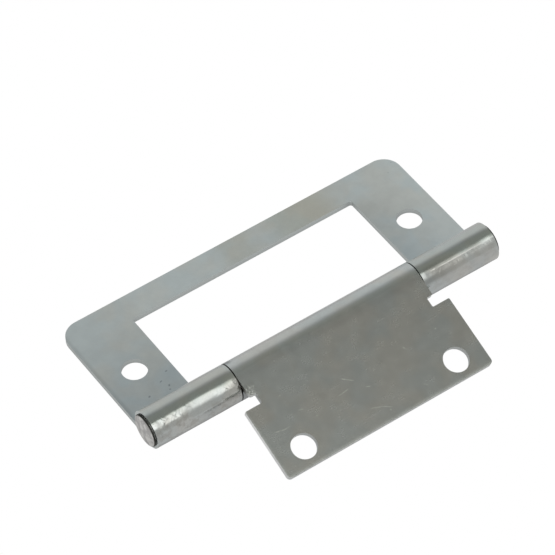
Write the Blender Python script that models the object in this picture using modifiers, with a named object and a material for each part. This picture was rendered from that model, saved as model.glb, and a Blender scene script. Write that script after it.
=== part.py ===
"""Light flush door hinge: a frame leaf, an inner leaf that swings into its window, and the pin.

Metres, +Z up.  X runs along the pin, Y from the pin towards the frame leaf's far edge.
Z = 0 is the frame leaf's mounting face, and the pin's axis stands BARREL_R above it.
The origin is on that face, halfway along the hinge, in the middle of the leaf's far rail.
"""
import math

import bmesh
import bpy

MM = 0.001

# The sheet, the barrel and the pin.
LENGTH = 60.0 * MM            # the frame leaf, along the pin
SHEET = 0.9 * MM              # thickness of both leaves
BARREL_R = 3.05 * MM          # outside radius of every knuckle
KNUCKLE_PROUD = 0.3 * MM      # each end knuckle, past the side of its leaf
PIN_CLEAR = 0.07 * MM         # running clearance of the pin, on radius
PIN_PROUD = 0.45 * MM         # each staked pin end, past the knuckles
HEAD_OVER = 0.47 * MM         # each staked pin head, out past the bore
HEAD_GAP = 0.12 * MM          # between a head and the knuckle it holds
HEAD_ROUND = 0.27 * MM        # how far a head's rim is rounded off
END_GAP = 0.2 * MM            # between neighbouring knuckles, along the pin
SEAM_GAP = 0.35 * MM          # between a knuckle's free edge and its own leaf

# The frame leaf.
FRAME_WIDTH = 24.8 * MM       # pin axis to far edge
RAIL = 4.6 * MM               # far edge to window
ARM = 10.2 * MM               # side edge to window
TAB_OUT = 1.6 * MM            # the tabs the end knuckles start from, past the barrel
FRAME_CORNER = 3.0 * MM
WINDOW_CORNER = 0.4 * MM
FRAME_HOLE_IN = 5.25 * MM     # screw hole from the side edge
FRAME_HOLE_Y = 12.0 * MM      # screw hole from the pin axis
HOLE_D = 4.0 * MM             # every screw hole

# The inner leaf.  It folds into the window, so the window sets its size.
INNER_SHIFT = 0.65 * MM       # its middle, off the middle of the hinge
SIDE_PLAY = 1.7 * MM          # window to leaf at each side, before the shift
FAR_PLAY = 3.0 * MM           # window to leaf at the far edge
TAB_LONG = 3.55 * MM          # window to middle knuckle at each end, before the shift
NECK_IN = 1.1 * MM            # how far each notch is cut in past the knuckle's end
NOTCH_WIDE = 1.65 * MM        # along the leaf's side edge
NOTCH_CLEAR = 0.85 * MM       # a notch reaches this far beyond the frame leaf's tabs
NOTCH_CORNER = 0.2 * MM
NECK_CORNER = 0.6 * MM        # the neck's left outer corner, rounded off more
INNER_CORNER = 0.6 * MM
INNER_HOLE_IN = 4.6 * MM      # screw hole from the leaf's side edge
INNER_HOLE_UP = 3.1 * MM      # screw hole from the leaf's near edge
INNER_TURN = 201.3            # degrees the leaf is opened from inside the window

HOLE_STEPS = 48
CORNER_STEPS = 10
ROLL_STEP = 6.0               # degrees per facet of a rolled knuckle
PIN_STEPS = 64

HALF = LENGTH / 2
BARREL_HALF = HALF + KNUCKLE_PROUD
BORE_R = BARREL_R - SHEET
PIN_R = BORE_R - PIN_CLEAR
PIN_Y = RAIL / 2 - FRAME_WIDTH
WINDOW_HALF = HALF - ARM
TAB_END = BARREL_R + TAB_OUT


def clear_scene():
    for ob in list(bpy.data.objects):
        bpy.data.objects.remove(ob, do_unlink=True)


def collection(name):
    coll = bpy.data.collections.new(name)
    bpy.context.scene.collection.children.link(coll)
    return coll


def material(name, colour, roughness):
    mat = bpy.data.materials.new(name)
    mat.use_nodes = True
    bsdf = mat.node_tree.nodes["Principled BSDF"]
    bsdf.inputs["Base Color"].default_value = (*colour, 1.0)
    bsdf.inputs["Metallic"].default_value = 1.0
    bsdf.inputs["Roughness"].default_value = roughness
    return mat


def rounded(corners):
    """A closed outline from (x, s, radius) corners; a radius of 0 leaves the corner sharp."""
    out = []
    for i, (x, s, r) in enumerate(corners):
        if r == 0:
            out.append((x, s))
            continue
        px, ps, _ = corners[i - 1]
        nx, ns, _ = corners[(i + 1) % len(corners)]
        a = math.atan2(ps - s, px - x)
        b = math.atan2(ns - s, nx - x)
        turn = (b - a + math.pi) % (2 * math.pi) - math.pi
        reach = r / math.tan(abs(turn) / 2)
        mid = a + turn / 2
        away = math.hypot(r, reach)
        cx, cs = x + away * math.cos(mid), s + away * math.sin(mid)
        p0 = math.atan2(s + reach * math.sin(a) - cs, x + reach * math.cos(a) - cx)
        p1 = math.atan2(s + reach * math.sin(b) - cs, x + reach * math.cos(b) - cx)
        swing = (p1 - p0 + math.pi) % (2 * math.pi) - math.pi
        for k in range(CORNER_STEPS + 1):
            p = p0 + swing * k / CORNER_STEPS
            out.append((cx + r * math.cos(p), cs + r * math.sin(p)))
    return out


def hole(x, s):
    """The outline of one screw hole."""
    turn = 2 * math.pi / HOLE_STEPS
    return [(x + HOLE_D / 2 * math.cos(k * turn), s + HOLE_D / 2 * math.sin(k * turn))
            for k in range(HOLE_STEPS)]


def roll_sweep():
    """Radians a strip is rolled before its free edge would come down on its own leaf."""
    return 2 * math.pi - math.acos((BARREL_R - SHEET - SEAM_GAP) / BARREL_R)


def leaf(name, outline, holes, strips, coll, mat):
    """One sheet-metal leaf: its outer face, filled flat and rolled into knuckles, thickened.

    The outline is in X and in distance from the pin, and the strips are the X spans of the
    edges that knuckles are rolled from.  The mesh is drawn about the pin's axis, with the
    leaf flat below it.
    """
    bm = bmesh.new()
    low = -BARREL_R
    edges = []
    for loop in (outline, *holes):
        ring = [bm.verts.new((x, s, low)) for x, s in loop]
        edges += [bm.edges.new((v, ring[(i + 1) % len(ring)])) for i, v in enumerate(ring)]
    bmesh.ops.triangle_fill(bm, edges=edges, use_beauty=True)
    bmesh.ops.recalc_face_normals(bm, faces=bm.faces[:])
    if bm.faces[:][0].normal.z > 0:
        bmesh.ops.reverse_faces(bm, faces=bm.faces[:])
    sweep = roll_sweep()
    for x0, x1 in strips:
        edge = next(e for e in edges if {round(v.co.x, 7) for v in e.verts}
                    == {round(x0, 7), round(x1, 7)} and abs(e.verts[0].co.y) < 1e-7)
        bmesh.ops.spin(bm, geom=[edge, *edge.verts], cent=(0, 0, 0), axis=(-1, 0, 0),
                       angle=sweep, steps=round(math.degrees(sweep) / ROLL_STEP))
    bmesh.ops.remove_doubles(bm, verts=bm.verts[:], dist=1e-7)
    for f in bm.faces:
        middle = f.calc_center_median()
        if middle.y < -1e-7 or middle.z > low + 1e-6:
            if f.normal.dot((0, middle.y, middle.z)) < 0:
                f.normal_flip()
    mesh = bpy.data.meshes.new(name)
    bm.to_mesh(mesh)
    bm.free()
    mesh.materials.append(mat)
    mesh.shade_smooth()
    mesh.set_sharp_from_angle(angle=math.radians(30))
    ob = bpy.data.objects.new(name, mesh)
    coll.objects.link(ob)
    sheet = ob.modifiers.new("sheet", "SOLIDIFY")
    sheet.thickness = SHEET
    sheet.offset = -1
    sheet.use_even_offset = True
    ob.location = (0, PIN_Y, BARREL_R)
    return ob


def middle_knuckle():
    """The two ends of the middle knuckle, along X."""
    half = WINDOW_HALF - TAB_LONG
    return INNER_SHIFT - half, INNER_SHIFT + half


def frame_leaf(coll, mat):
    lo, hi = middle_knuckle()
    lo, hi = lo - END_GAP, hi + END_GAP
    side, top = WINDOW_HALF, FRAME_WIDTH - RAIL
    r, c = WINDOW_CORNER, FRAME_CORNER
    end, flare = BARREL_HALF, 0.5 * BARREL_R
    outline = rounded([
        (-end, 0, 0), (lo, 0, 0), (lo, TAB_END, r), (-side, TAB_END, 0),
        (-side, top, r), (side, top, r), (side, TAB_END, 0), (hi, TAB_END, r),
        (hi, 0, 0), (end, 0, 0), (HALF, flare, 0), (HALF, FRAME_WIDTH, c),
        (-HALF, FRAME_WIDTH, c), (-HALF, flare, 0)])
    hole_x = HALF - FRAME_HOLE_IN
    holes = [hole(x, FRAME_HOLE_Y) for x in (-hole_x, hole_x)]
    return leaf("frame_leaf", outline, holes, [(-end, lo), (hi, end)], coll, mat)


def inner_leaf(coll, mat):
    lo, hi = middle_knuckle()
    left, right = INNER_SHIFT - WINDOW_HALF + SIDE_PLAY, INNER_SHIFT + WINDOW_HALF - SIDE_PLAY
    near = FRAME_WIDTH - RAIL - FAR_PLAY
    notch_end = TAB_END + NOTCH_CLEAR
    notch = notch_end - NOTCH_WIDE
    c, n = INNER_CORNER, NOTCH_CORNER
    outline = rounded([
        (lo, 0, 0), (hi, 0, 0), (hi, notch, n), (hi - NECK_IN, notch, n),
        (hi - NECK_IN, notch_end, n), (right, notch_end, n),
        (right, near, c), (left, near, c),
        (left, notch_end, n), (lo + NECK_IN, notch_end, n),
        (lo + NECK_IN, notch, n), (lo, notch, NECK_CORNER)])
    holes = [hole(x, near - INNER_HOLE_UP) for x in (left + INNER_HOLE_IN, right - INNER_HOLE_IN)]
    ob = leaf("inner_leaf", outline, holes, [(lo, hi)], coll, mat)
    ob.rotation_euler = (math.radians(INNER_TURN), 0, 0)
    return ob


def hinge_pin(coll, mat):
    """The pin and its two staked heads, turned about X."""
    end, back = BARREL_HALF + PIN_PROUD, BARREL_HALF + HEAD_GAP
    head = BORE_R + HEAD_OVER
    rim = [(head - HEAD_ROUND * (1 - math.cos(a)), end - HEAD_ROUND * (1 - math.sin(a)))
           for a in (math.radians(15 * k) for k in range(7))]
    half = [(PIN_R, back), (head, back), *rim, (0.5 * head, end + 0.06 * MM), (0.0, end + 0.09 * MM)]
    profile = [*reversed(half), *[(r, -x) for r, x in half]]
    mesh = bpy.data.meshes.new("hinge_pin")
    mesh.from_pydata([(r, 0.0, x) for r, x in profile],
                     [(i, i + 1) for i in range(len(profile) - 1)], [])
    mesh.materials.append(mat)
    ob = bpy.data.objects.new("hinge_pin", mesh)
    coll.objects.link(ob)
    turn = ob.modifiers.new("turn", "SCREW")
    turn.axis = "Z"
    turn.steps = turn.render_steps = PIN_STEPS
    turn.use_merge_vertices = True
    turn.merge_threshold = 0.00001
    turn.use_smooth_shade = True
    ob.location = (0, PIN_Y, BARREL_R)
    ob.rotation_euler = (0, math.radians(90), 0)
    return ob


clear_scene()
hinge = collection("flush_door_hinge")
zinc_light = material("zinc_plate_light", (0.62, 0.64, 0.65), 0.36)
zinc_dark = material("zinc_plate_dark", (0.50, 0.51, 0.50), 0.40)
pin_steel = material("pin_steel", (0.56, 0.56, 0.55), 0.32)
frame_leaf(hinge, zinc_light)
inner_leaf(hinge, zinc_dark)
hinge_pin(hinge, pin_steel)
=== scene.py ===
"""Looks for a light flush door hinge: two zinc-plated leaves rolled round a pin, in a white tent."""
import math

import bmesh
import bpy
from mathutils import Matrix, Vector


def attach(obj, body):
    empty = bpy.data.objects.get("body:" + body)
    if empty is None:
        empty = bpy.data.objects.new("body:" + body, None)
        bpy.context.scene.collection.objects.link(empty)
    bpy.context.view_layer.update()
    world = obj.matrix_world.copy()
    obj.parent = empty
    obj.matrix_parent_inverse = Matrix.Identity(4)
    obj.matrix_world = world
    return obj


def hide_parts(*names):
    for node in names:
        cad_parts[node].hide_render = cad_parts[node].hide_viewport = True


MM = 0.001

# Sizes of the hinge, the same as its solids.
LENGTH = 60.0 * MM            # the frame leaf, along the pin
SHEET = 0.9 * MM
BARREL_R = 3.05 * MM          # outside radius of every knuckle
KNUCKLE_PROUD = 0.3 * MM      # each end knuckle, past the side of its leaf
PIN_R = 2.08 * MM
PIN_PROUD = 0.45 * MM         # each staked head, past the knuckles
HEAD_R = 2.62 * MM
HEAD_GAP = 0.12 * MM          # between a head and its knuckle
HEAD_ROUND = 0.27 * MM        # round at a head's rim
HEAD_CROWN = ((0.62, 0.05 * MM), (0.3, 0.08 * MM), (0.0, 0.09 * MM))    # share of HEAD_R, rise
END_GAP = 0.2 * MM            # between neighbouring knuckles
SEAM_GAP = 0.35 * MM          # between a knuckle's free edge and its leaf
FRAME_WIDTH = 24.8 * MM       # pin axis to far edge
RAIL = 4.6 * MM               # far edge to window
ARM = 10.2 * MM               # side edge to window
TAB_OUT = 1.6 * MM            # the tabs the end knuckles start from, past the barrel
FRAME_CORNER = 3.0 * MM
WINDOW_CORNER = 0.4 * MM
FRAME_HOLE_IN = 5.25 * MM     # screw hole from the side edge
FRAME_HOLE_Y = 12.0 * MM      # screw hole from the pin axis
HOLE_D = 4.0 * MM             # every screw hole
INNER_SHIFT = 0.65 * MM       # the folding leaf's middle, off the middle of the hinge
SIDE_PLAY = 1.7 * MM          # window to folding leaf at each side, before the shift
FAR_PLAY = 3.0 * MM           # window to folding leaf at the far edge
TAB_LONG = 3.55 * MM          # window to middle knuckle at each end, before the shift
NECK_IN = 1.1 * MM            # how far each notch is cut in past the knuckle's end
NOTCH_WIDE = 1.65 * MM        # along the leaf's side edge
NOTCH_CLEAR = 0.85 * MM       # a notch reaches this far beyond the frame leaf's tabs
NOTCH_CORNER = 0.2 * MM
NECK_CORNER = 0.6 * MM        # the neck's outer corner at the left
INNER_CORNER = 0.6 * MM
INNER_HOLE_IN = 4.6 * MM      # screw hole from the leaf's side edge
INNER_HOLE_UP = 3.1 * MM      # screw hole from the leaf's near edge
INNER_TURN = 201.3            # degrees the leaf is opened from inside the window

HALF = LENGTH / 2
BARREL_HALF = HALF + KNUCKLE_PROUD
WINDOW_HALF = HALF - ARM
TAB_END = BARREL_R + TAB_OUT
PIN_Y = RAIL / 2 - FRAME_WIDTH

# Finish of the cut edges, and how finely the surfaces are divided.
EDGE_ROUND = 0.12 * MM
SHARP = math.radians(50)      # an edge that turns more than this is an edge of the sheet
ROLL_STEP = 3.0               # degrees of roll
CELL = 0.8 * MM               # along a knuckle
HOLE_STEPS = 72
CORNER_STEPS = 12
PIN_STEPS = 96
RIM_STEPS = 12
SAME_PLACE = 1e-7             # corners closer than this are one, in metres
BUMP = 0.1 * MM               # height of a bump of 1

# Where the camera stands round the hinge, what it looks at, and its lens.
VIEW_ROUND = math.radians(-32.0)
VIEW_UP = math.radians(49.1)
VIEW_ROLL = math.radians(-3.38)
VIEW_AIM = Vector((2.509 * MM, PIN_Y + 14.84 * MM, 0.0))
VIEW_AWAY = 526.8 * MM
LENS = 229.0
SENSOR = 36.0

# The floor and its contact shade, and how bright each part of the light tent is.
FLOOR_SIZE = 6.0
FLOOR_GAP = 0.02 * MM
CONTACT_REACH = 2.5 * MM
CONTACT_SHADE = 0.35
FLOOR_GLOW = 0.60
ROOF_GLOW = 0.285
FAR_GLOW = 0.375              # more than the roof, low on the far side
NEAR_GLOW = 0.22              # more than the roof, low on the near side
LAMP_GLOW = 1.6
NARROW_LAMP = 0.29            # the lamp's right part, as a share of its left
UNDER_GLOW = 0.6

# Marks on the two leaves: (x, y, degrees, length, width, sag), in mm on the flat blank.
# The outer leaf's two lines are painted highlight lines along the right knuckle's highlight.
OUTER_GLINT_LINES = ((24.2, -7.8, 0, 11.0, 0.16, 0), (19.2, -7.85, 0, 1.2, 0.14, 0))
OUTER_NICKS = (
    (-21.2, 9.0, 10, 0.5, 0.16, 0), (-22.9, 7.8, 20, 0.6, 0.13, 0),
    (-22.3, 6.5, 60, 0.5, 0.2, 0), (-22.6, 5.8, -20, 0.4, 0.16, 0),
    (-25.8, 6.4, 30, 0.5, 0.2, 0))
FOLDING_SCRATCHES = (
    (-1.7, 8.7, 37, 2.6, 0.11, 0), (-3.3, 10.1, -6, 2.4, 0.11, 0.05),
    (0.4, 14.7, 25, 4.4, 0.12, -0.06), (-14.3, 10.5, 9, 3.5, 0.12, 0.09),
    (-10.1, 9.2, 13, 1.1, 0.10, 0), (0.4, 11.1, 19, 1.0, 0.10, 0),
    (8.4, 8.7, 66, 1.0, 0.12, 0), (8.0, 15.0, 46, 0.9, 0.10, 0),
    (-11.7, 5.9, 0, 0.35, 0.16, 0), (-8.6, 11.1, 0, 0.3, 0.16, 0),
    (1.3, 15.7, 60, 0.4, 0.15, 0), (14.2, 8.5, 0, 0.35, 0.15, 0),
    (-5.1, 12.1, 0, 0.3, 0.14, 0))
RAIL_STAINS = ((0.5, 22.5, 4.0, 0.5), (12.0, 22.5, 7.5, 0.9))       # (x, y, reach, strength)
TORN_NECK = (-15.0, 3.1)                                            # (x, y)
HAIR_RUNS = ((24, (0, 0, 0)), (-38, (5, 9, 1)), (71, (2, 4, 8)))    # degrees, and a pattern's shift

# What marks the plate, and the painted light and shade on it.
SMUDGE = (0.36, 0.34, 0.30, 1)
# Painted shade in the creases.
CREASE_SHADE = (0.25, 0.25, 0.23, 1)
# The scratches' colour, which also draws the painted highlight lines.
SCRATCH_AND_GLINT = (0.88, 0.88, 0.84, 1)
PIT = (0.16, 0.18, 0.22, 1)
# A painted highlight along the folding leaf's near and left edges.
EDGE_GLINT = (0.95, 0.96, 0.95, 1)
TORN_BRIGHT = (0.98, 0.97, 0.93, 1)
TORN_DARK = (0.20, 0.19, 0.16, 1)
# Painted shadow on the neck's wall beside the gap to the left knuckle.
GAP_SHADOW = (0.17, 0.165, 0.15, 1)

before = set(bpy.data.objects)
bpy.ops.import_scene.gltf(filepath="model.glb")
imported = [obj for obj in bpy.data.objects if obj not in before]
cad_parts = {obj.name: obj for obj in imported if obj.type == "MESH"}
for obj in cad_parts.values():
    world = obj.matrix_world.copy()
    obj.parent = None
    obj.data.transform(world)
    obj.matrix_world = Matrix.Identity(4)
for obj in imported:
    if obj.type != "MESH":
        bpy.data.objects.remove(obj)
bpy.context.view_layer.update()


# ---------------------------------------------------------------- nodes as expressions

class Num:
    """A value socket in any node tree; Python's operators add Math nodes to it."""

    def __init__(self, nodes, socket):
        self.nodes, self.socket = nodes, socket

    def _math(self, operation, *values):
        node = self.nodes.add("ShaderNodeMath", {"operation": operation}, dict(enumerate(values)))
        return Num(self.nodes, node.outputs[0])

    def __add__(self, other):
        return self._math("ADD", self, other)

    def __radd__(self, other):
        return self._math("ADD", other, self)

    def __sub__(self, other):
        return self._math("SUBTRACT", self, other)

    def __rsub__(self, other):
        return self._math("SUBTRACT", other, self)

    def __mul__(self, other):
        return self._math("MULTIPLY", self, other)

    def __rmul__(self, other):
        return self._math("MULTIPLY", other, self)

    def __truediv__(self, other):
        return self._math("DIVIDE", self, other)

    def __rtruediv__(self, other):
        return self._math("DIVIDE", other, self)

    def __neg__(self):
        return self._math("MULTIPLY", self, -1.0)

    def __abs__(self):
        return self._math("ABSOLUTE", self)

    def __pow__(self, other):
        return self._math("POWER", self, other)

    def sin(self):
        return self._math("SINE", self)

    def cos(self):
        return self._math("COSINE", self)

    def atan2(self, other):
        return self._math("ARCTAN2", self, other)

    def above(self, other):
        return self._math("MAXIMUM", self, other)

    def fade(self, low, high):
        """0 up to low, 1 from high, and a smooth rise between; low may be the larger."""
        node = self.nodes.add("ShaderNodeMapRange", {"interpolation_type": "SMOOTHSTEP"},
                              {0: self, 1: low, 2: high})
        return Num(self.nodes, node.outputs[0])


class Nodes:
    """A node tree being written; add() makes any node, its settings before its sockets."""

    def __init__(self, tree):
        self.tree = tree

    def add(self, kind, settings=None, sockets=None):
        node = self.tree.nodes.new(kind)
        for key, value in (settings or {}).items():
            setattr(node, key, value)
        for key, value in (sockets or {}).items():
            socket = node.inputs[key]
            if isinstance(value, Num):
                self.tree.links.new(value.socket, socket)
            elif isinstance(value, bpy.types.NodeSocket):
                self.tree.links.new(value, socket)
            else:
                socket.default_value = value
        return node

    def num(self, socket):
        return Num(self, socket)

    def split(self, vector):
        node = self.add("ShaderNodeSeparateXYZ", None, {0: vector})
        return [Num(self, s) for s in node.outputs]

    def join(self, x, y, z):
        return self.add("ShaderNodeCombineXYZ", None, {0: x, 1: y, 2: z}).outputs[0]

    def scaled(self, vector, factors):
        node = self.add("ShaderNodeVectorMath", {"operation": "MULTIPLY"}, {0: vector, 1: factors})
        return node.outputs[0]

    def moved(self, vector, offset):
        node = self.add("ShaderNodeVectorMath", {"operation": "ADD"}, {0: vector, 1: offset})
        return node.outputs[0]

    def turned(self, vector, degrees):
        node = self.add("ShaderNodeVectorRotate", {"rotation_type": "Z_AXIS"},
                        {"Vector": vector, "Angle": math.radians(degrees)})
        return node.outputs[0]

    def noise(self, vector, scale=1.0, detail=2.0, rough=0.5, warp=0.0):
        node = self.add("ShaderNodeTexNoise", None, {
            "Vector": vector, "Scale": scale, "Detail": detail, "Roughness": rough,
            "Distortion": warp})
        return Num(self, node.outputs[0])

    def blend(self, factor, a, b, how="MIX"):
        """Colour a where factor is 0 and b where it is 1."""
        node = self.add("ShaderNodeMix", {"data_type": "RGBA", "blend_type": how},
                        {0: factor, 6: a, 7: b})
        return node.outputs[2]

    def tinted(self, colour, tint):
        return self.blend(1.0, colour, tint, "MULTIPLY")

    def bumped(self, bsdf, height):
        bump = self.add("ShaderNodeBump", None, {"Strength": 1.0, "Distance": BUMP, "Height": height})
        self.tree.links.new(bump.outputs[0], bsdf.inputs["Normal"])


# ---------------------------------------------------------------- sheet metal

def rounded(corners):
    """A closed outline from (x, s, radius) corners; a radius of 0 leaves the corner sharp."""
    out = []
    for i, (x, s, r) in enumerate(corners):
        if r == 0:
            out.append((x, s))
            continue
        px, ps, _ = corners[i - 1]
        nx, ns, _ = corners[(i + 1) % len(corners)]
        a = math.atan2(ps - s, px - x)
        b = math.atan2(ns - s, nx - x)
        turn = (b - a + math.pi) % (2 * math.pi) - math.pi
        reach = r / math.tan(abs(turn) / 2)
        away = math.hypot(r, reach)
        cx, cs = x + away * math.cos(a + turn / 2), s + away * math.sin(a + turn / 2)
        p0 = math.atan2(s + reach * math.sin(a) - cs, x + reach * math.cos(a) - cx)
        p1 = math.atan2(s + reach * math.sin(b) - cs, x + reach * math.cos(b) - cx)
        swing = (p1 - p0 + math.pi) % (2 * math.pi) - math.pi
        for k in range(CORNER_STEPS + 1):
            p = p0 + swing * k / CORNER_STEPS
            out.append((cx + r * math.cos(p), cs + r * math.sin(p)))
    return out


def hole(x, s):
    """The ring of a screw hole round (x, s)."""
    turn = 2 * math.pi / HOLE_STEPS
    return [(x + HOLE_D / 2 * math.cos(k * turn), s + HOLE_D / 2 * math.sin(k * turn))
            for k in range(HOLE_STEPS)]


def blank(name, outline, holes, strips):
    """The flat blank of a leaf before rolling: X along the pin, Y away from it, Z into the sheet.

    Its strips, at Y below 0, are what the knuckles are rolled from.
    """
    bm = bmesh.new()
    for loop in (outline, *holes):
        ring = [bm.verts.new((x, s, 0.0)) for x, s in loop]
        for i, v in enumerate(ring):
            bm.edges.new((v, ring[(i + 1) % len(ring)]))
    starts = []
    for x0, x1 in strips:
        edge = next(e for e in bm.edges if all(abs(v.co.y) < SAME_PLACE for v in e.verts)
                    and abs(min(v.co.x for v in e.verts) - x0) < SAME_PLACE
                    and abs(max(v.co.x for v in e.verts) - x1) < SAME_PLACE)
        cut = bmesh.ops.subdivide_edges(bm, edges=[edge], cuts=round((x1 - x0) / CELL) - 1)
        starts.append([e for e in cut["geom_split"] if isinstance(e, bmesh.types.BMEdge)])
    bmesh.ops.triangle_fill(bm, edges=bm.edges[:], use_beauty=True)
    sweep = 2 * math.pi - math.acos((BARREL_R - SHEET - SEAM_GAP) / BARREL_R)
    steps = round(math.degrees(sweep) / ROLL_STEP)
    for row in starts:
        for _ in range(steps):
            grown = bmesh.ops.extrude_edge_only(bm, edges=row)["geom"]
            row = [g for g in grown if isinstance(g, bmesh.types.BMEdge)
                   and all(v in grown for v in g.verts) and len(g.link_faces) == 1]
            verts = {v for e in row for v in e.verts}
            bmesh.ops.translate(bm, verts=list(verts), vec=(0, -BARREL_R * sweep / steps, 0))
    grown = bmesh.ops.extrude_face_region(bm, geom=bm.faces[:], use_keep_orig=True)["geom"]
    for v in (g for g in grown if isinstance(g, bmesh.types.BMVert)):
        v.co.z = SHEET
    bmesh.ops.recalc_face_normals(bm, faces=bm.faces[:])
    sharp = [e for e in bm.edges if e.calc_face_angle(0) > SHARP]
    bmesh.ops.bevel(bm, geom=sharp, offset=EDGE_ROUND, offset_type="OFFSET", segments=3,
                    profile=0.5, affect="EDGES", clamp_overlap=True, loop_slide=False)
    bm.normal_update()
    for f in bm.faces:
        f.smooth = abs(f.normal.z) < 0.999 or f.calc_center_median().y < 0
    mesh = bpy.data.meshes.new(name)
    bm.to_mesh(mesh)
    bm.free()
    ob = bpy.data.objects.new(name, mesh)
    bpy.context.scene.collection.objects.link(ob)
    return ob


def rolling_tree():
    """Rolls the part of a blank below Y = 0 round the pin's axis, then sets the leaf in place."""
    tree = bpy.data.node_groups.new("roll knuckles", "GeometryNodeTree")
    sockets = tree.interface
    sockets.new_socket("Geometry", in_out="INPUT", socket_type="NodeSocketGeometry")
    for label, kind in (("Barrel radius", "NodeSocketFloat"), ("Out of round", "NodeSocketFloat"),
                        ("Lump size", "NodeSocketFloat"), ("Opened", "NodeSocketVector"),
                        ("Pin axis", "NodeSocketVector"), ("Finish", "NodeSocketMaterial")):
        sockets.new_socket(label, in_out="INPUT", socket_type=kind)
    sockets.new_socket("Geometry", in_out="OUTPUT", socket_type="NodeSocketGeometry")
    n = Nodes(tree)
    given = n.add("NodeGroupInput").outputs
    radius, error, lump = (n.num(given[k]) for k in ("Barrel radius", "Out of round", "Lump size"))
    place = n.add("GeometryNodeInputPosition").outputs[0]
    x, s, depth = n.split(place)
    kept = n.add("GeometryNodeStoreNamedAttribute", {"data_type": "FLOAT_VECTOR", "domain": "POINT"},
                 {"Geometry": given["Geometry"], "Name": "blank",
                  "Value": n.scaled(place, (1 / MM,) * 3)})
    _, _, lean = n.split(n.add("GeometryNodeInputNormal").outputs[0])
    kept = n.add("GeometryNodeStoreNamedAttribute", {"data_type": "FLOAT", "domain": "FACE"},
                 {"Geometry": kept.outputs[0], "Name": "cut", "Value": 1.0 - abs(lean)})
    turn = (-s).above(0.0) / radius
    lumps = n.noise(n.join(x / lump, s / lump, 0.0), 1.0, 1.0) - 0.5
    r = radius - depth + lumps * error * turn.fade(0.1, 0.8)
    moved = n.join(x, s.above(0.0) - r * turn.sin(), -(r * turn.cos()))
    rolled = n.add("GeometryNodeSetPosition", None, {"Geometry": kept.outputs[0], "Position": moved})
    set_down = n.add("GeometryNodeTransform", None, {
        "Geometry": rolled.outputs[0], "Translation": given["Pin axis"],
        "Rotation": given["Opened"]})
    whole = n.add("GeometryNodeRealizeInstances", None, {0: set_down.outputs[0]})
    painted = n.add("GeometryNodeSetMaterial", None,
                    {"Geometry": whole.outputs[0], "Material": given["Finish"]})
    n.add("NodeGroupOutput", None, {0: painted.outputs[0]})
    return tree


def set_input(modifier, label, value):
    """Sets the modifier's input of that name by its socket's identifier."""
    item = next(i for i in modifier.node_group.interface.items_tree
                if i.item_type == "SOCKET" and i.in_out == "INPUT" and i.name == label)
    modifier[item.identifier] = value


def baked(ob):
    """The object with its modifiers made into plain mesh."""
    bpy.context.view_layer.update()
    graph = bpy.context.evaluated_depsgraph_get()
    mesh = bpy.data.meshes.new_from_object(ob.evaluated_get(graph), preserve_all_data_layers=True,
                                           depsgraph=graph)
    ob.modifiers.clear()
    old = ob.data
    ob.data = mesh
    bpy.data.meshes.remove(old)
    mesh.name = ob.name
    return ob


def roll(ob, tree, opened, out_of_round, lump, finish):
    """Rolls a blank's strips into knuckles and turns the leaf about the pin by opened degrees."""
    mod = ob.modifiers.new("roll", "NODES")
    mod.node_group = tree
    for label, value in (("Barrel radius", BARREL_R), ("Out of round", out_of_round),
                         ("Lump size", lump), ("Opened", (math.radians(opened), 0.0, 0.0)),
                         ("Pin axis", (0.0, PIN_Y, BARREL_R)), ("Finish", finish)):
        set_input(mod, label, value)
    weigh = ob.modifiers.new("flat faces lead", "WEIGHTED_NORMAL")
    weigh.mode = "FACE_AREA"
    weigh.weight = 80
    weigh.keep_sharp = True
    return baked(ob)


def middle_knuckle():
    """The middle knuckle's two ends along the pin."""
    half = WINDOW_HALF - TAB_LONG
    return INNER_SHIFT - half, INNER_SHIFT + half


def outer_blank():
    """The outer leaf: a frame round the window, with a knuckle strip at each end."""
    lo, hi = middle_knuckle()
    lo, hi = lo - END_GAP, hi + END_GAP
    side, top = WINDOW_HALF, FRAME_WIDTH - RAIL
    r, c = WINDOW_CORNER, FRAME_CORNER
    end, flare = BARREL_HALF, BARREL_R / 2
    outline = rounded([
        (-end, 0, 0), (lo, 0, 0), (lo, TAB_END, r), (-side, TAB_END, 0),
        (-side, top, r), (side, top, r), (side, TAB_END, 0), (hi, TAB_END, r),
        (hi, 0, 0), (end, 0, 0), (HALF, flare, 0), (HALF, FRAME_WIDTH, c),
        (-HALF, FRAME_WIDTH, c), (-HALF, flare, 0)])
    hole_x = HALF - FRAME_HOLE_IN
    holes = [hole(x, FRAME_HOLE_Y) for x in (-hole_x, hole_x)]
    return blank("outer_leaf", outline, holes, [(-end, lo), (hi, end)])


def folding_blank():
    """The folding leaf: it fits the window, and its neck carries the middle knuckle's strip."""
    lo, hi = middle_knuckle()
    left, right = INNER_SHIFT - WINDOW_HALF + SIDE_PLAY, INNER_SHIFT + WINDOW_HALF - SIDE_PLAY
    near = FRAME_WIDTH - RAIL - FAR_PLAY
    notch_end = TAB_END + NOTCH_CLEAR
    notch = notch_end - NOTCH_WIDE
    c, n = INNER_CORNER, NOTCH_CORNER
    outline = rounded([
        (lo, 0, 0), (hi, 0, 0), (hi, notch, n), (hi - NECK_IN, notch, n),
        (hi - NECK_IN, notch_end, n), (right, notch_end, n),
        (right, near, c), (left, near, c),
        (left, notch_end, n), (lo + NECK_IN, notch_end, n),
        (lo + NECK_IN, notch, n), (lo, notch, NECK_CORNER)])
    holes = [hole(x, near - INNER_HOLE_UP) for x in (left + INNER_HOLE_IN, right - INNER_HOLE_IN)]
    return blank("folding_leaf", outline, holes, [(lo, hi)])


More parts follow.
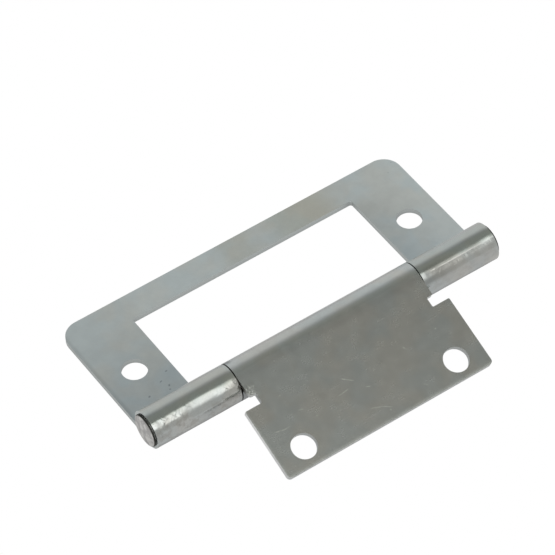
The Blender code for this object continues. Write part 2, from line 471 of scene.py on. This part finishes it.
def turned_pin(finish):
    """The pin, turned about X, with its staked heads rounded at the rim and slightly crowned."""
    end, back = BARREL_HALF + PIN_PROUD, BARREL_HALF + HEAD_GAP
    rim = [(HEAD_R - HEAD_ROUND * (1 - math.cos(a)), end - HEAD_ROUND * (1 - math.sin(a)))
           for a in (math.pi / 2 * k / RIM_STEPS for k in range(RIM_STEPS + 1))]
    crown = [(share * HEAD_R, end + rise) for share, rise in HEAD_CROWN]
    half = [(PIN_R, back), (HEAD_R, back), *rim, *crown]
    profile = [*reversed(half), *[(r, -x) for r, x in half]]
    mesh = bpy.data.meshes.new("pin")
    mesh.from_pydata([(r, 0.0, x) for r, x in profile],
                     [(i, i + 1) for i in range(len(profile) - 1)], [])
    ob = bpy.data.objects.new("pin", mesh)
    bpy.context.scene.collection.objects.link(ob)
    turn = ob.modifiers.new("turn", "SCREW")
    turn.axis = "Z"
    turn.steps = turn.render_steps = PIN_STEPS
    turn.use_merge_vertices = True
    turn.merge_threshold = 0.01 * MM
    baked(ob)
    ob.data.transform(Matrix.Translation((0, PIN_Y, BARREL_R)) @ Matrix.Rotation(math.pi / 2, 4, "Y"))
    ob.data.shade_smooth()
    ob.data.set_sharp_from_angle(angle=SHARP)
    ob.data.materials.clear()
    ob.data.materials.append(finish)
    return ob


# ---------------------------------------------------------------- finishes

def shader(name):
    """A new material, its node tree to write, and its Principled shader."""
    mat = bpy.data.materials.new(name)
    mat.use_nodes = True
    n = Nodes(mat.node_tree)
    return mat, n, mat.node_tree.nodes["Principled BSDF"]


def strokes(n, place, marks):
    """Where thin marks run: each is (x, y, degrees, length, width, sag), in mm on the blank."""
    found = None
    for x, y, turn, length, width, sag in marks:
        along, across, _ = n.split(n.turned(n.moved(place, (-x, -y, 0)), -turn))
        bow = abs(across + along * along * sag)
        mark = abs(along).fade(length / 2, length / 6) * bow.fade(width, 0.0)
        found = mark if found is None else found.above(mark)
    return found


def hair_scratches(n, place, marks):
    """The marks, and over them sparse hair scratches in a few directions."""
    for turn, shift in HAIR_RUNS:
        moved = n.moved(place, shift)
        line = n.noise(n.scaled(n.turned(moved, turn), (0.09, 2.2, 1.0)), 1.0, 1.0)
        where = n.noise(moved, 0.33, 1.0)
        marks = marks.above((1.0 - abs(line - 0.5).fade(0.0, 0.01)) * where.fade(0.62, 0.70) * 0.19)
    return marks


def pits_and_nicks(n, place, depth, nicks):
    """Fine pits scattered in patches, and the few deeper nicks in the top face."""
    cells = n.add("ShaderNodeTexVoronoi", None, {"Vector": place, "Scale": 0.7})
    pit = 1.0 - n.num(cells.outputs["Distance"]).fade(0.03, 0.10)
    pit = pit * n.noise(place, 0.5).fade(0.5, 0.6) * 0.4
    if nicks:
        pit = pit.above(strokes(n, place, nicks) * depth.fade(0.4, 0.5))
    return pit


def mottled(n, colour, place):
    """The plating's faint drift between warm and cool."""
    cast = n.noise(place, 0.16, 2.0, 0.5, 0.3)
    hue = n.blend(cast.fade(0.38, 0.62), (1.025, 1.0, 0.98, 1), (0.975, 1.0, 1.02, 1))
    return n.tinted(colour, hue)


def stained(n, colour, x, s, stains):
    """Warm stains along the rail, and a cool cast on the plate nearer the knuckles."""
    for at, up, reach, strength in stains:
        warm = abs(x - at).fade(reach, reach * 0.3) * abs(s - up).fade(5.0, 2.0) * strength
        colour = n.tinted(colour, n.blend(warm, (1, 1, 1, 1), (0.93, 0.885, 0.81, 1)))
    cool = s.fade(17.0, 6.0) * s.fade(0.0, 2.5)
    return n.tinted(colour, n.blend(cool, (1, 1, 1, 1), (0.975, 1.005, 1.035, 1)))


def torn_edge(n, colour, place, sheared, at):
    """Ragged metal round at, where a notch meets the knuckle, with painted shadow on the wall beside
    the gap there: the colour and what it adds in height.
    """
    x, s, _ = n.split(place)
    ragged = n.noise(place, 3.2, 3.0, 0.7)
    here = abs(x - at[0]).fade(1.3, 0.3) * abs(s - at[1]).fade(1.3, 0.3)
    colour = n.blend(here * ragged.fade(0.53, 0.60), colour, TORN_BRIGHT)
    colour = n.blend(here * ragged.fade(0.46, 0.40) * 0.5, colour, TORN_DARK)
    # Painted shadow on the neck's end wall, which faces the left knuckle across the gap.
    gap_shadow = sheared * x.fade(at[0] - 0.35, at[0] - 0.5) * s.fade(3.2, 2.3)
    return n.blend(gap_shadow, colour, GAP_SHADOW), ragged * here * 0.45


def zinc(name, flat, rolled, rough, burnish, cut, corner_light, tone_and_light, dents, scratches, nicks=(),
         stains=(), glint_edges=None, torn=None):
    """Zinc-plated steel: faintly mottled plate, rolling grain, pits, scratches and sheared edges.

    flat is the plate's colour on the leaf and rolled its colour on the knuckles, where rolling
    has burnished it from roughness rough to burnish; cut is the colour of the sheared walls and
    fold the painted light and shade on their corners.  Three functions of (x, s), in mm on the
    blank, place the rest: tone is what is added to the plate's brightness, painted light and
    shade among it, dents is how far rolling has dimpled it, and worn is where a painted highlight
    brightens the edge.  torn is where an edge is ragged, with painted shadow on the wall beside
    it.  scratches also holds painted highlight lines.
    """
    mat, n, bsdf = shader(name)
    place = n.add("ShaderNodeAttribute", {"attribute_name": "blank"}).outputs["Vector"]
    lean = n.num(n.add("ShaderNodeAttribute", {"attribute_name": "cut"}).outputs["Fac"])
    sheared, corner = lean.fade(0.5, 0.9), lean.fade(0.0, 0.03) * lean.fade(0.9, 0.5)
    x, s, depth = n.split(place)
    knuckle, zone = s.fade(1.0, -1.0), dents(x, s)
    blotch = n.noise(n.moved(place, (31, 7, 3)), 0.55, 3.0, 0.55)
    grain = n.noise(n.scaled(place, (0.35, 6.0, 6.0)), 1.0, 2.0, 0.6)
    tooth = n.noise(place, 7.0, 2.0, 0.6)
    fleck = n.noise(n.moved(place, (3, 11, 5)), 1.7, 2.0, 0.55)
    # The brightness added by place includes painted light and shade.
    shade = 0.955 + blotch.fade(0.3, 0.7) * 0.05 + fleck * 0.04 + tone_and_light(x, s)
    colour = mottled(n, n.blend(knuckle, (*flat, 1), (*rolled, 1)), place)
    if stains:
        colour = stained(n, colour, x, s, stains)
    colour = n.tinted(colour, n.join(shade, shade, shade))
    # Smudges and creases along the dimples, which the rolling dies left; the creases are darkened with
    # painted shade.
    dent = n.noise(place, 0.5, 2.5, 0.55, 0.3)
    smudge = n.noise(n.moved(place, (9, 2, 4)), 0.8, 3.0, 0.6).fade(0.45, 0.62) * zone
    colour = n.blend(smudge * 0.4, colour, SMUDGE)
    crease = (1.0 - abs(dent - 0.5).fade(0.0, 0.03)) * n.noise(place, 0.9, 1.0).fade(0.56, 0.64) * zone
    colour = n.blend(crease * 0.35, colour, CREASE_SHADE)
    # Scratches, and painted highlight lines along a knuckle's highlight, which break up along their
    # length, then pits.
    scratch_and_glint_lines = strokes(n, place, scratches) * (0.45 + n.noise(place, 2.5, 1.0).fade(0.4, 0.6) * 0.55)
    marks = hair_scratches(n, place, scratch_and_glint_lines * depth.fade(0.5, 0.4))
    colour = n.blend(marks * 0.9, colour, SCRATCH_AND_GLINT)
    pit = pits_and_nicks(n, place, depth, nicks)
    colour = n.blend(pit * 0.7, colour, PIT)
    # Sheared walls, then their corners patched with painted light and shade, and a painted highlight
    # along the edges given.
    colour = n.blend(sheared, colour, (*cut, 1))
    colour = n.blend(corner * n.noise(place, 1.1, 3.0, 0.6).fade(0.34, 0.50), colour, (*corner_light, 1))
    if glint_edges:
        edge_glint_mask = glint_edges(x, s) * (0.66 + sheared * 0.34) * (0.7 + fleck.fade(0.35, 0.55) * 0.3)
        colour = n.blend(edge_glint_mask, colour, EDGE_GLINT)
    height = blotch * 0.03 + grain * 0.012 + tooth * 0.006 + marks * 0.02 - pit * 0.06
    height = height + dent * zone * 1.3 - crease * 0.2
    if torn:
        colour, rag = torn_edge(n, colour, place, sheared, torn)
        height = height + rag
    roughness = rough + knuckle * (burnish - rough) + (blotch - 0.5) * 0.06 + (grain - 0.5) * 0.05
    roughness = roughness + sheared * 0.08 + pit * 0.1
    bsdf.inputs["Metallic"].default_value = 1.0
    n.tree.links.new(colour, bsdf.inputs["Base Color"])
    n.tree.links.new(roughness.socket, bsdf.inputs["Roughness"])
    n.bumped(bsdf, height)
    return mat


def staked_steel(name):
    """The pin: peened grey heads inside a rougher rim darkened with painted shade."""
    mat, n, bsdf = shader(name)
    place = n.scaled(n.add("ShaderNodeTexCoord").outputs["Object"], (1 / MM,) * 3)
    _, y, z = n.split(n.moved(place, (0, -PIN_Y / MM, -BARREL_R / MM)))
    out = (y * y + z * z) ** 0.5
    # The head's outer rim, darkened with painted shade for the shadow round the head, and rougher.
    rim = out.fade(HEAD_R / MM - 0.13, HEAD_R / MM - 0.05)
    peen = n.noise(place, 0.9, 2.0, 0.6)
    colour = n.blend(peen.fade(0.40, 0.62), (0.50, 0.49, 0.48, 1), (0.80, 0.79, 0.76, 1))
    colour = n.blend(rim, colour, (0.06, 0.06, 0.055, 1))
    bsdf.inputs["Metallic"].default_value = 1.0
    n.tree.links.new(colour, bsdf.inputs["Base Color"])
    n.tree.links.new((0.3 + rim * 0.3).socket, bsdf.inputs["Roughness"])
    n.bumped(bsdf, peen * 0.8)
    return mat


def outer_tone_and_light(x, s):
    """Darker on the left arm and its edge and paler to the right; darker on the left knuckle's lower
    near side by its seam, painted shade over the right knuckle's highlight by its seam, and a painted
    highlight near that knuckle's end.
    """
    arm = x.fade(-17.0, -20.0) * 0.07 + x.fade(-14.0, -22.0) * s.fade(18.0, 5.0) * 0.13
    left = arm + x.fade(-29.2, -29.9) * 0.13 - x.fade(0.0, -6.0) * s.fade(18.0, 21.0) * 0.05
    rail = s.fade(17.0, 21.0) * x.fade(27.0, 21.0)
    right = x.fade(18.0, 31.0) * 0.25 - x.fade(14.0, 18.0) * (1.0 - rail) * 0.125
    # Painted shade over the right knuckle's highlight near its seam.
    seam = x.fade(14.0, 16.0) * x.fade(25.0, 18.5) * s.fade(-9.0, -8.2) * s.fade(-5.6, -6.6) * 0.26
    belly = x.fade(-24.0, -21.0) * x.fade(-14.0, -16.0) * s.fade(-6.2, -5.2) * s.fade(0.0, -1.0) * 0.13
    # Painted highlight: the right knuckle's highlight made brighter and wider near its end.
    gleam = x.fade(27.0, 29.0) * s.fade(-8.5, -8.2) * s.fade(-7.0, -7.7) * 0.6
    return (right - left) * s.fade(0.0, 2.5) - seam - belly + gleam


def folding_painted_light(x, s):
    """Painted light and shade: paler to the near edge and the left, a painted sheen along the knuckle
    to the right and a painted highlight on its ridge; painted shade at the bend and on the knuckle by
    the left neck.
    """
    sheen = x.fade(0.0, 14.0) * s.fade(1.0, -1.0) * 0.08
    ridge = s.fade(-1.7, -0.9) * s.fade(-0.3, -1.0) * 0.16
    bend = s.fade(-0.5, 0.1) * s.fade(1.8, 0.4) * 0.12
    neck = x.fade(-14.4, -15.0) * s.fade(-2.0, -3.0) * 0.45
    return (s.fade(2.0, 18.0) + x.fade(18.0, -18.0)) * 0.05 - 0.03 + sheen + ridge - bend - neck


def outer_dents(x, s):
    """Both end knuckles' near side, the left one's more, but for a smooth patch on its middle."""
    smooth = x.fade(-25.0, -23.5) * x.fade(-18.5, -20.0) * s.fade(-5.8, -6.6)
    ends = x.fade(-14.0, -17.0) * (1.0 - smooth * 0.8) + x.fade(17.0, 19.0) * 0.35
    start = s.fade(-8.2, -6.9).above(s.fade(-9.0, -7.8) * x.fade(-21.5, -23.5) * 0.6)
    return ends * start * s.fade(-2.6, -4.2)


def folding_dents(x, s):
    """A light dimpling all over the middle knuckle."""
    return s.fade(0.0, -2.0) * 0.16


def folding_glint_edges(x, s):
    """The near edge and the left edge, where a painted highlight brightens them."""
    return s.fade(16.65, 17.25).above(x.fade(-17.05, -17.5))


# The outer leaf's dark corner colour is painted shade on its sheared corners, and the folding leaf's
# pale one a painted highlight.
outer_zinc = zinc(
    "zinc plate on the outer leaf", flat=(0.745, 0.785, 0.782), rolled=(0.585, 0.60, 0.58),
    rough=0.30, burnish=0.19, cut=(0.68, 0.72, 0.71), corner_light=(0.26, 0.28, 0.30), tone_and_light=outer_tone_and_light,
    dents=outer_dents, scratches=OUTER_GLINT_LINES, nicks=OUTER_NICKS, stains=RAIL_STAINS)
folding_zinc = zinc(
    "zinc plate on the folding leaf", flat=(0.545, 0.538, 0.528), rolled=(0.61, 0.62, 0.61),
    rough=0.26, burnish=0.22, cut=(0.62, 0.64, 0.63), corner_light=(0.95, 0.96, 0.95), tone_and_light=folding_painted_light,
    dents=folding_dents, scratches=FOLDING_SCRATCHES, glint_edges=folding_glint_edges, torn=TORN_NECK)
pin_steel = staked_steel("peened steel")


# ---------------------------------------------------------------- the pieces

tree = rolling_tree()
outer = roll(outer_blank(), tree, opened=0.0, out_of_round=0.05 * MM, lump=2.2 * MM,
             finish=outer_zinc)
folding = roll(folding_blank(), tree, opened=INNER_TURN, out_of_round=0.03 * MM, lump=5.0 * MM,
               finish=folding_zinc)
pin = turned_pin(pin_steel)
for piece, body, node in ((outer, "frame_side", "frame_leaf"), (folding, "inner_side", "inner_leaf"),
                          (pin, "frame_side", "hinge_pin")):
    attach(piece, body)
    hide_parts(node)


# ---------------------------------------------------------------- floor, light and camera

def floor_under():
    """A pale floor touching the outer leaf's far edge and the folding leaf's near edge."""
    near = FRAME_WIDTH - RAIL - FAR_PLAY
    turn = math.radians(INNER_TURN)
    inner_z = SHEET - BARREL_R
    y1 = PIN_Y + near * math.cos(turn) - inner_z * math.sin(turn)
    z1 = BARREL_R + near * math.sin(turn) + inner_z * math.cos(turn)
    y2, z2 = PIN_Y + FRAME_WIDTH, 0.0
    tilt = math.atan2(z2 - z1, y2 - y1)
    bpy.ops.mesh.primitive_plane_add(size=FLOOR_SIZE)
    ob = bpy.context.object
    ob.name = "floor"
    ob.location = (0.0, y2, z2 - FLOOR_GAP)
    ob.rotation_euler = (tilt, 0.0, 0.0)
    mat, n, bsdf = shader("pale floor")
    n.tree.nodes.remove(bsdf)
    white = n.add("ShaderNodeEmission", None, {"Color": (1, 1, 1, 1), "Strength": 1.0})
    open_sky = n.add("ShaderNodeAmbientOcclusion", None, {"Distance": CONTACT_REACH})
    dim = n.blend(open_sky.outputs["AO"], (*(CONTACT_SHADE,) * 3, 1), (1, 1, 1, 1))
    soft = n.add("ShaderNodeEmission", None, {"Color": dim, "Strength": FLOOR_GLOW})
    seen = n.add("ShaderNodeLightPath").outputs["Is Camera Ray"]
    mix = n.add("ShaderNodeMixShader", None, {0: seen, 1: soft.outputs[0], 2: white.outputs[0]})
    n.tree.links.new(mix.outputs[0], n.tree.nodes["Material Output"].inputs["Surface"])
    ob.data.materials.append(mat)


def light_tent():
    """A pale tent with a dimmer roof and one broad lamp high on the near side."""
    world = bpy.data.worlds.new("light tent")
    world.use_nodes = True
    bpy.context.scene.world = world
    n = Nodes(world.node_tree)
    x, y, z = n.split(n.add("ShaderNodeTexCoord").outputs["Generated"])
    around = z.atan2(y) * (1 / math.pi)         # 0 at the far horizon, 0.5 overhead, 1 near
    far = around.fade(0.385, 0.20)
    near = around.fade(0.70, 0.80)
    left = x.fade(0.375, 0.33)
    wide = around.fade(0.582, 0.617) * around.fade(0.87, 0.735) * left
    narrow = around.fade(0.59, 0.645) * around.fade(0.705, 0.65) * (1.0 - left)
    lamp = wide + narrow * NARROW_LAMP
    under = z.fade(0.02, -0.05)
    strength = ROOF_GLOW + far * FAR_GLOW + near * NEAR_GLOW
    strength = strength * (1.0 - lamp) + lamp * LAMP_GLOW
    strength = strength * (1.0 - under) + under * UNDER_GLOW
    seen = n.num(n.add("ShaderNodeLightPath").outputs["Is Camera Ray"])
    strength = strength * (1.0 - seen) + seen
    background = n.tree.nodes["Background"]
    roof = around.fade(0.33, 0.43) * around.fade(0.66, 0.58) * (1.0 - seen)
    warm = n.blend(around.fade(0.45, 0.60), (0.97, 1.0, 0.985, 1), (1.0, 1.0, 0.975, 1))
    tint = n.blend(roof, warm, (0.975, 1.03, 0.94, 1))
    n.tree.links.new(n.blend(seen.socket, tint, (1, 1, 1, 1)), background.inputs["Color"])
    n.tree.links.new(strength.socket, background.inputs["Strength"])


def camera():
    """A long lens high on the near side, standing off to the left of the hinge."""
    flat = math.cos(VIEW_UP)
    back = Vector((math.sin(VIEW_ROUND) * flat, -math.cos(VIEW_ROUND) * flat, math.sin(VIEW_UP)))
    right = Vector((math.cos(VIEW_ROUND), math.sin(VIEW_ROUND), 0.0))
    up = back.cross(right)
    side = right * math.cos(VIEW_ROLL) + up * math.sin(VIEW_ROLL)
    top = up * math.cos(VIEW_ROLL) - right * math.sin(VIEW_ROLL)
    data = bpy.data.cameras.new("view")
    data.lens = LENS
    data.sensor_width = SENSOR
    data.clip_start = 10.0 * MM
    data.clip_end = 20.0
    ob = bpy.data.objects.new("view", data)
    bpy.context.scene.collection.objects.link(ob)
    turn = Matrix((side, top, back)).transposed().to_4x4()
    ob.matrix_world = Matrix.Translation(VIEW_AIM + back * VIEW_AWAY) @ turn
    bpy.context.scene.camera = ob


floor_under()
light_tent()
camera()
bpy.context.scene.view_settings.view_transform = "Standard"
